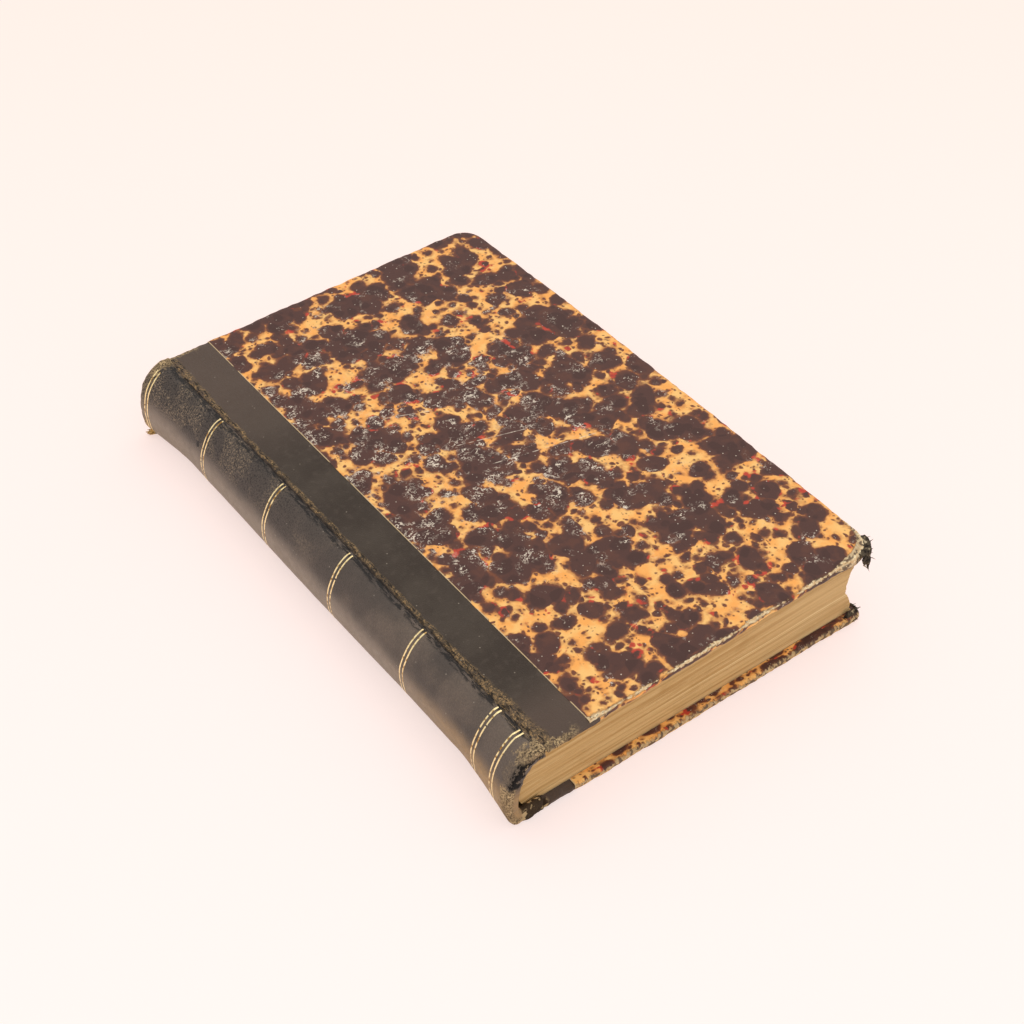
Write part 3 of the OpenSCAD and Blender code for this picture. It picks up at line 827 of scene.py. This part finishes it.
def add_marbling(name, side):
    """The marbled sheet of a side, in millimetres of the flat paper: glazed ink, dull where it is worn."""
    front = side == "front"
    seed, worn_limit, frayed = (0.0, 0.75, 1.9) if front else (30.0, 2.9, 3.4)
    m = new_material(name)
    kept = add(m, "Attribute", attribute_name="sheet").outputs["Vector"]
    sheet_x, sheet_y, rim = add(m, "SeparateXYZ", kept).outputs
    sheet = add(m, "CombineXYZ", sheet_x, sheet_y, seed)

    def spots(size, detail=2.0, shift=0.0, **more):
        """Cloudy value whose lumps are about a size in millimetres."""
        moved = add(m, "VectorMath", sheet, (shift, -shift, shift), operation="ADD") if shift else sheet
        return add(m, "TexNoise", moved, Scale=1 / size, Detail=detail, **more)

    swirl = sheet
    for size, reach in ((7.0, 3.0), (2.2, 1.1), (0.8, 0.25)):
        push = add(m, "VectorMath", spots(size, 1.0).outputs["Color"], (0.5, 0.5, 0.5), operation="SUBTRACT")
        push = add(m, "VectorMath", push, (reach, reach, 0.0), operation="MULTIPLY")
        swirl = add(m, "VectorMath", swirl, push, operation="ADD")
    crowd = plus(m, spots(15.0, 1.5), -0.505, times(m, band(m, sheet_y, -20.0, -75.0), -0.03))

    # drops of five sizes: how far a point lies inside the nearest drop of each, in millimetres
    drops = ((8.4, 0.26, 0.64, 1.5), (5.2, 0.06, 0.58, 1.3), (3.1, -0.25, 0.46, 0.9), (2.2, -0.75, 0.36, 0.3),
             (1.25, -1.1, 0.27, 0.1))
    depths = []
    for cell, least, most_r, swell in drops:
        moved = add(m, "VectorMath", swirl, (cell * 3.1, -cell * 1.7, 0.0), operation="ADD")
        drop = add(m, "TexVoronoi", moved, Scale=1 / cell, Smoothness=0.35, voronoi_dimensions="2D",
                   feature="SMOOTH_F1")
        chance = add(m, "SeparateColor", drop.outputs["Color"]).outputs[0]
        radius = plus(m, add(m, "MapRange", chance, 0.0, 1.0, least, most_r), times(m, crowd, swell))
        depths.append(times(m, add(m, "Math", radius, drop.outputs["Distance"], operation="SUBTRACT"), cell))
    blot = add(m, "Math", depths[0], depths[1], 1.1, operation="SMOOTH_MAX")
    blot = add(m, "Math", blot, depths[2], 0.8, operation="SMOOTH_MAX")
    blot = plus(m, blot, times(m, plus(m, spots(1.3, 3.0, 23.0), -0.5), 1.3))
    dot = most(m, depths[3], depths[4])
    inside = most(m, blot, dot)
    overlap = add(m, "Math", depths[0], depths[1], operation="MINIMUM")

    # amber ground, browner round the blots; thin ink is red-brown and two layers of it nearly black
    ground = lay(m, "#ffb05a", "#ffc878", band(m, spots(5.0, 3.0), 0.35, 0.65))
    tone = lay(m, ground, "#bf7c45", band(m, blot, -1.4, -0.2), band(m, spots(3.5), 0.38, 0.58), 0.8)
    tone = lay(m, tone, "#82533a", band(m, blot, -1.0, -0.3), band(m, spots(6.0, 3.0, 71.0), 0.54, 0.66), 0.9)
    tone = lay(m, tone, "#774530", band(m, inside, -0.42, 0.12))
    tone = lay(m, tone, "#55362f", band(m, blot, 0.02, 0.80))
    thin = times(m, band(m, spots(4.2, 3.0, 31.0), 0.47, 0.66), band(m, overlap, 0.5, -0.6))
    tone = lay(m, tone, "#673f31", thin, band(m, blot, 0.0, 0.6), 0.6)
    tone = lay(m, tone, "#442b26", band(m, overlap, 0.1, 0.9), 0.6)
    tone = lay(m, tone, "#80503a", band(m, dot, 0.22, 0.5), band(m, blot, 0.0, -0.3), 0.45)
    red = times(m, band(m, inside, -0.8, -0.15), band(m, inside, 0.9, 0.2))
    tone = lay(m, tone, "#cc4330", red, band(m, spots(4.5, 2.0, 57.0), 0.62, 0.68), 0.85)

    # scuffs: short crooked strokes and flecks in tight clusters, lone specks, and a few long scratches
    handled = times(m, band(m, sheet_y, -80.0, -10.0), band(m, sheet_y, 95.0, 45.0), 0.12)
    handled = times(m, handled, band(m, sheet_x, 112.0, 70.0))
    cluster = band(m, plus(m, spots(6.0, 3.5, 11.0), handled), 0.58, 0.72)
    strokes = []
    for shift, size in ((3.0, 2.4), (17.0, 1.7), (29.0, 1.1)):
        crooked = band(m, far_from(m, spots(size, 2.0, shift), 0.5), 0.045, 0.016)
        strokes.append(times(m, crooked, band(m, spots(2.2, 3.0, shift + 5.0), 0.52, 0.58)))
    fleck = add(m, "TexVoronoi", sheet, Scale=1.0, voronoi_dimensions="2D")
    chance = add(m, "SeparateColor", fleck.outputs["Color"]).outputs[1]
    fleck = times(m, band(m, fleck.outputs["Distance"], 0.24, 0.10), band(m, chance, 0.74, 0.80))
    marks = times(m, most(m, *strokes, fleck), cluster)
    speck = add(m, "TexVoronoi", sheet, Scale=0.42, voronoi_dimensions="2D")
    chance = add(m, "SeparateColor", speck.outputs["Color"]).outputs[0]
    off_speck = plus(m, speck.outputs["Distance"], times(m, chance, -0.07))
    speck = times(m, band(m, off_speck, 0.030, 0.0), band(m, chance, 0.66, 0.82))
    marks = times(m, most(m, marks, times(m, speck, 0.7)), add(m, "MapRange", blot, -0.5, 0.5, 0.2, 1.0))
    scratches = ((0.30, 55.0, 22.0, 26.0), (0.24, 68.0, 8.0, 34.0), (0.42, 30.0, 44.0, 15.0))
    for turn, at_x, at_y, length in scratches:
        line = add(m, "Mapping", sheet, Location=(-at_x, -at_y, 0), Rotation=(0, 0, turn),
                   vector_type="POINT")
        along, across, _ = add(m, "SeparateXYZ", line).outputs
        cut = times(m, band(m, far_from(m, across), 0.20, 0.08), band(m, spots(2.5), 0.42, 0.50))
        cut = times(m, cut, band(m, far_from(m, along), length / 2, length / 2 - 2.0))
        marks = most(m, marks, times(m, cut, 0.8))
    uneven = add(m, "MapRange", spots(2.0, 2.0, 83.0), 0.38, 0.58, 0.35, 1.0)
    tone = lay(m, tone, "#f0e0cc", marks, uneven)

    # the edges: along the outer arris the sheet is rubbed off down to its cream pulp, most of all at the tail
    ragged = plus(m, spots(1.3, 4.0, 0.0, Roughness=0.65), -0.5)
    patchy = plus(m, spots(9.0, 3.0), -0.5)
    spared = times(m, band(m, sheet_y, -93.0, -86.0), 0.4 + 0.5 * worn_limit)
    worn_to = plus(m, rim, times(m, ragged, frayed), times(m, patchy, 2.6), spared)
    if front:
        # at the tail the bare strip widens towards the leather and towards the corner
        wide = plus(m, times(m, band(m, sheet_x, 30.0, 17.0), -0.7),
                    times(m, band(m, sheet_x, 97.0, 112.0), -1.7))
        worn_to = plus(m, worn_to, times(m, wide, band(m, sheet_y, -80.0, -88.0)))
    bare = band(m, worn_to, worn_limit, worn_limit - 0.24)
    tone = lay(m, tone, "#6b4d38", band(m, worn_to, worn_limit + 0.5, worn_limit), 0.45)
    pulp = ("#dab585", "#f9e6bd") if front else ("#c4965a", "#f6d69c")
    pulp = lay(m, *pulp, band(m, spots(1.0, 3.0), 0.38, 0.66))
    pulp = lay(m, pulp, "#b39a78", band(m, rim, 0.7, 1.6), 0.6)
    chips = times(m, band(m, spots(1.5, 3.0, 41.0), 0.50, 0.58), band(m, rim, 0.2, 0.7))
    pulp = lay(m, pulp, "#5a4a40", chips, 0.85)
    tone = lay(m, tone, pulp, bare)
    from_cut = plus(m, sheet_x, -paper_from[side])
    tone = lay(m, tone, "#dcc093", band(m, from_cut, 0.36, 0.14), band(m, spots(6.0), 0.36, 0.44), 0.85)

    roughness = add(m, "MapRange", most(m, bare, marks), 0.0, 1.0, 0.45, 0.9)
    height = plus(m, times(m, ragged, 0.5), times(m, marks, -0.4), times(m, bare, -0.8))
    finish_material(m, tone, roughness, bump=height, depth=0.10, Specular_IOR_Level=0.22)
    return m


def thicken(piece, thickness, offset):
    """Gives a sheet its thickness in millimetres, inwards for an offset of -1 and to both sides for 0."""
    solidify = piece.modifiers.new("thickness", "SOLIDIFY")
    solidify.thickness, solidify.offset = thickness * mm, offset
    bpy.ops.object.modifier_apply(modifier="thickness")


for side in covers:
    paper = add_side_block(side + "_marbled_paper", paper_from[side], 0.0, 1.0)
    bare_x, bare_y = cover_w - turn_in, book_h / 2 - turn_in

    def is_left_off(c, face):
        on_inside = c.z > wrap_t - 0.05 and c.x < bare_x and abs(c.y) < bare_y
        return on_inside or c.x < paper_from[side] + 0.05
    choose(paper, "FACE", is_left_off)
    bpy.ops.mesh.delete(type="FACE")
    bpy.ops.object.mode_set(mode="OBJECT")
    record_on_points(paper, "sheet", unfold)
    reshape(paper, round_side(side, 0.0))
    put_in_place(paper, side)
    if side == "front":
        paper.data.flip_normals()
    take(paper)
    thicken(paper, 0.18, -1)
    bpy.ops.object.shade_smooth_by_angle(angle=math.radians(35))
    paper.data.materials.append(add_marbling("marbled_paper_glazed_" + side, side))
    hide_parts(side + "_paper")
    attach(paper, side + "_cover")

# CORNER CLOTH
# Dark bookcloth under the paper at each fore corner, turned in with it. At the tail its tips have come loose:
# one hangs from the front board as a ragged flap and one stands up from the back board, with broken threads.
cloth = new_material("bookcloth_dark_frayed")
place = add(cloth, "TexCoord").outputs["Object"]
weave = add(cloth, "TexWave", place, Scale=420.0, Distortion=1.5, Detail=2.0)
shade = add(cloth, "TexNoise", place, Scale=700.0, Detail=3.0)
# dark and olive mottle, with pale flecks that are painted highlights on the crumpled cloth
cloth_tone = lay(cloth, "#241c17", "#5c5040", band(cloth, shade, 0.35, 0.60))
cloth_tone = lay(cloth, cloth_tone, "#c9b694", band(cloth, shade, 0.58, 0.68))
finish_material(cloth, cloth_tone, 0.9, bump=weave.outputs["Fac"], depth=0.15, Specular_IOR_Level=0.2)
cloth_reach = 15.0
# first and last place along the edge, height of the root, reach outwards, length, and lean of the tip
flap_at = {"front": (1.6, 9.8, 0.35, 1.3, 7.6, -0.6), "back": (-4.5, 6.6, 1.2, 0.5, 3.3, 1.6)}


def along_corner(radius, s):
    """Place on the tail corner's edge, s past the start of its round, and the outward direction there."""
    mid_x, mid_y = cover_w - radius, radius - book_h / 2
    quarter = radius * math.pi / 2
    a = max(0, min(quarter, s)) / radius - math.pi / 2
    x, y = mid_x + radius * math.cos(a) + min(0, s), mid_y + radius * math.sin(a) + max(0, s - quarter)
    return x, y, math.cos(a), math.sin(a)


def add_flap(side):
    """A crumpled tongue of cloth round the tail corner of a cover, in the cover's own lying position."""
    first, last, top, proud, length, lean = flap_at[side]
    bpy.ops.mesh.primitive_grid_add(x_subdivisions=40, y_subdivisions=20, size=100 * mm)
    flap = bpy.context.object
    seed = 3 if side == "front" else 8

    def place_on_flap(u, v):
        x, y, nx, ny = along_corner(corner_r[side], first + (last - first) * u)
        bulge = math.sin(math.pi * clamp(0.06 + 0.88 * u)) ** 0.6
        ragged = 0.72 + 0.55 * rough(u * 12, 0, 0, 1.3, seed) + 0.2 * rough(u * 12, 0, 0, 0.45, seed)
        if v < 0.25:
            out, z = -0.9 + (0.9 + proud * bulge) * v / 0.25, top
        else:
            fall = (v - 0.25) / 0.75
            out = proud * bulge - lean * fall
            z = top + length * fall * max(0.2, min(1.15, ragged * bulge))
        fold, pucker = rough(u * 9, v * 4, 0, 1.1, seed + 1), rough(u * 14, v * 9, 0, 0.7, seed + 2)
        out += 0.45 * fold * min(1, 4 * v) + 0.15 * pucker
        z += 0.25 * rough(u * 9, v * 6, 0, 0.9, seed + 3)
        return x + out * nx, y + out * ny, z

    reshape(flap, lambda u, v, z: place_on_flap(u / 100 + 0.5, v / 100 + 0.5))
    thicken(flap, 0.34, 0)
    for k in range(6):
        u, v = 0.08 + 0.84 * (k / 5), (0.28 if k % 3 else 0.97)
        x, y, z = place_on_flap(u, v)
        nx, ny = along_corner(corner_r[side], first + (last - first) * u)[2:]
        reach, astray = 0.9 + 1.5 * abs(rough(k, 3, 0, 0.7, 6)), 0.9 * rough(k, 0, 0, 0.7, 9)
        drop = 0.4 if side == "back" else (-0.5 if k % 3 else 1.0)
        add_thread(flap, [(x + reach * t * (nx - astray * ny * t), y + reach * t * (ny + astray * nx * t),
                           z + drop * t * t) for t in (-0.15, 0.35, 0.7, 1.0)], 0.45)
    return flap


for side in covers:
    for end, sign in (("head", 1), ("tail", -1)):
        corner = add_side_block("%s_%s_corner_cloth" % (side, end), cover_w - cloth_reach, 0.19, 1.25)

        def is_beyond(c, face):
            to_tip = (cover_w - c.x) + (book_h / 2 - sign * c.y)
            return to_tip > cloth_reach or c.x < cover_w - cloth_reach + 0.05
        choose(corner, "FACE", is_beyond)
        bpy.ops.mesh.delete(type="FACE")
        bpy.ops.object.mode_set(mode="OBJECT")
        reshape(corner, round_side(side, 0.19))
        thicken(corner, 0.09, -1)
        if end == "tail":
            deselect()
            flap = add_flap(side)
            corner.select_set(True)
            bpy.context.view_layer.objects.active = corner
            bpy.ops.object.join()
        put_in_place(corner, side)
        close_mesh(corner, 40)
        corner.data.materials.append(cloth)
        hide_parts("%s_%s_corner" % (side, end))
        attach(corner, side + "_cover")

# PASTEDOWNS
# Cream endpaper pasted inside each cover over the turn-ins, foxed and browned along its edges.
m = new_material("endpaper_laid_foxed")
place = add(m, "TexCoord").outputs["Object"]
x, y, _ = add(m, "SeparateXYZ", place).outputs
fox = add(m, "TexNoise", place, Scale=60.0, Detail=2.0)
speckle = band(m, add(m, "TexNoise", place, Scale=420.0, Detail=4.0), 0.60, 0.70)
near_edge = most(m, band(m, far_from(m, y), 0.070, 0.092), band(m, x, 0.040, 0.061))
tone = lay(m, "#e3c795", "#d6b57f", band(m, fox, 0.3, 0.7))
tone = lay(m, tone, "#a8834e", near_edge, 0.45)
tone = lay(m, tone, "#98703f", speckle, band(m, fox, 0.45, 0.65), 0.5)
finish_material(m, tone, 0.85, bump=fox, depth=0.08)
for side in covers:
    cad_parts[side + "_pastedown"].material_slots[0].material = m

# STUDIO
# A pale paper floor, a large soft lamp above and a bright room all round, and the photograph's own camera.
deselect()
bpy.ops.mesh.primitive_plane_add(size=6, location=(0, 0, -0.00005))
floor = bpy.context.object
floor.name = "floor"
m = new_material("backdrop_paper_matt")
x, y, _ = add(m, "SeparateXYZ", add(m, "TexCoord").outputs["Object"]).outputs
# the floor is painted a little darker and pinker towards the back: a painted falloff of the light over it
shown = lay(m, "#ffefeb", "#ffe7df", add(m, "MapRange", plus(m, times(m, x, 0.75), y), -0.21, 0.42))
sheen = add(m, "BsdfDiffuse", shown)
glow = add(m, "Emission", shown, 1.22)
path = add(m, "LightPath").outputs
seen = most(m, path["Is Camera Ray"], path["Is Glossy Ray"], path["Is Transmission Ray"])
both = add(m, "MixShader", times(m, seen, 0.55), sheen, glow)
m.node_tree.links.new(both.outputs[0], m.node_tree.nodes["Material Output"].inputs[0])
floor.data.materials.append(m)

world = bpy.data.worlds.new("bright_room")
bpy.context.scene.world = world
world.use_nodes = True
background = world.node_tree.nodes["Background"].inputs
background["Color"].default_value = (1, 0.985, 0.97, 1)
background["Strength"].default_value = 0.9


def add_lamp(name, at, size, power, colour):
    """A square soft lamp that faces the book."""
    lamp = bpy.data.lights.new(name, "AREA")
    lamp.size, lamp.energy, lamp.color = size, power, linear(colour)[:3]
    holder = bpy.data.objects.new(name, lamp)
    bpy.context.collection.objects.link(holder)
    holder.location = at
    holder.rotation_euler = (-Vector(at)).to_track_quat("-Z", "Y").to_euler()


add_lamp("large_soft_lamp", (0.55, 0.35, 1.3), 1.1, 2.5, "#fffaf3")

camera_data = bpy.data.cameras.new("camera")
camera = bpy.data.objects.new("camera", camera_data)
bpy.context.collection.objects.link(camera)
camera.location = (-0.22286, -0.29392, 0.34913)
camera.rotation_euler = [math.radians(a) for a in (46.8642477, -1.43951746, -37.14946114)]
camera_data.sensor_width, camera_data.lens = 36, 59.395
camera_data.clip_start, camera_data.clip_end = 0.01, 20
bpy.context.scene.camera = camera
bpy.context.scene.view_settings.view_transform = "Standard"
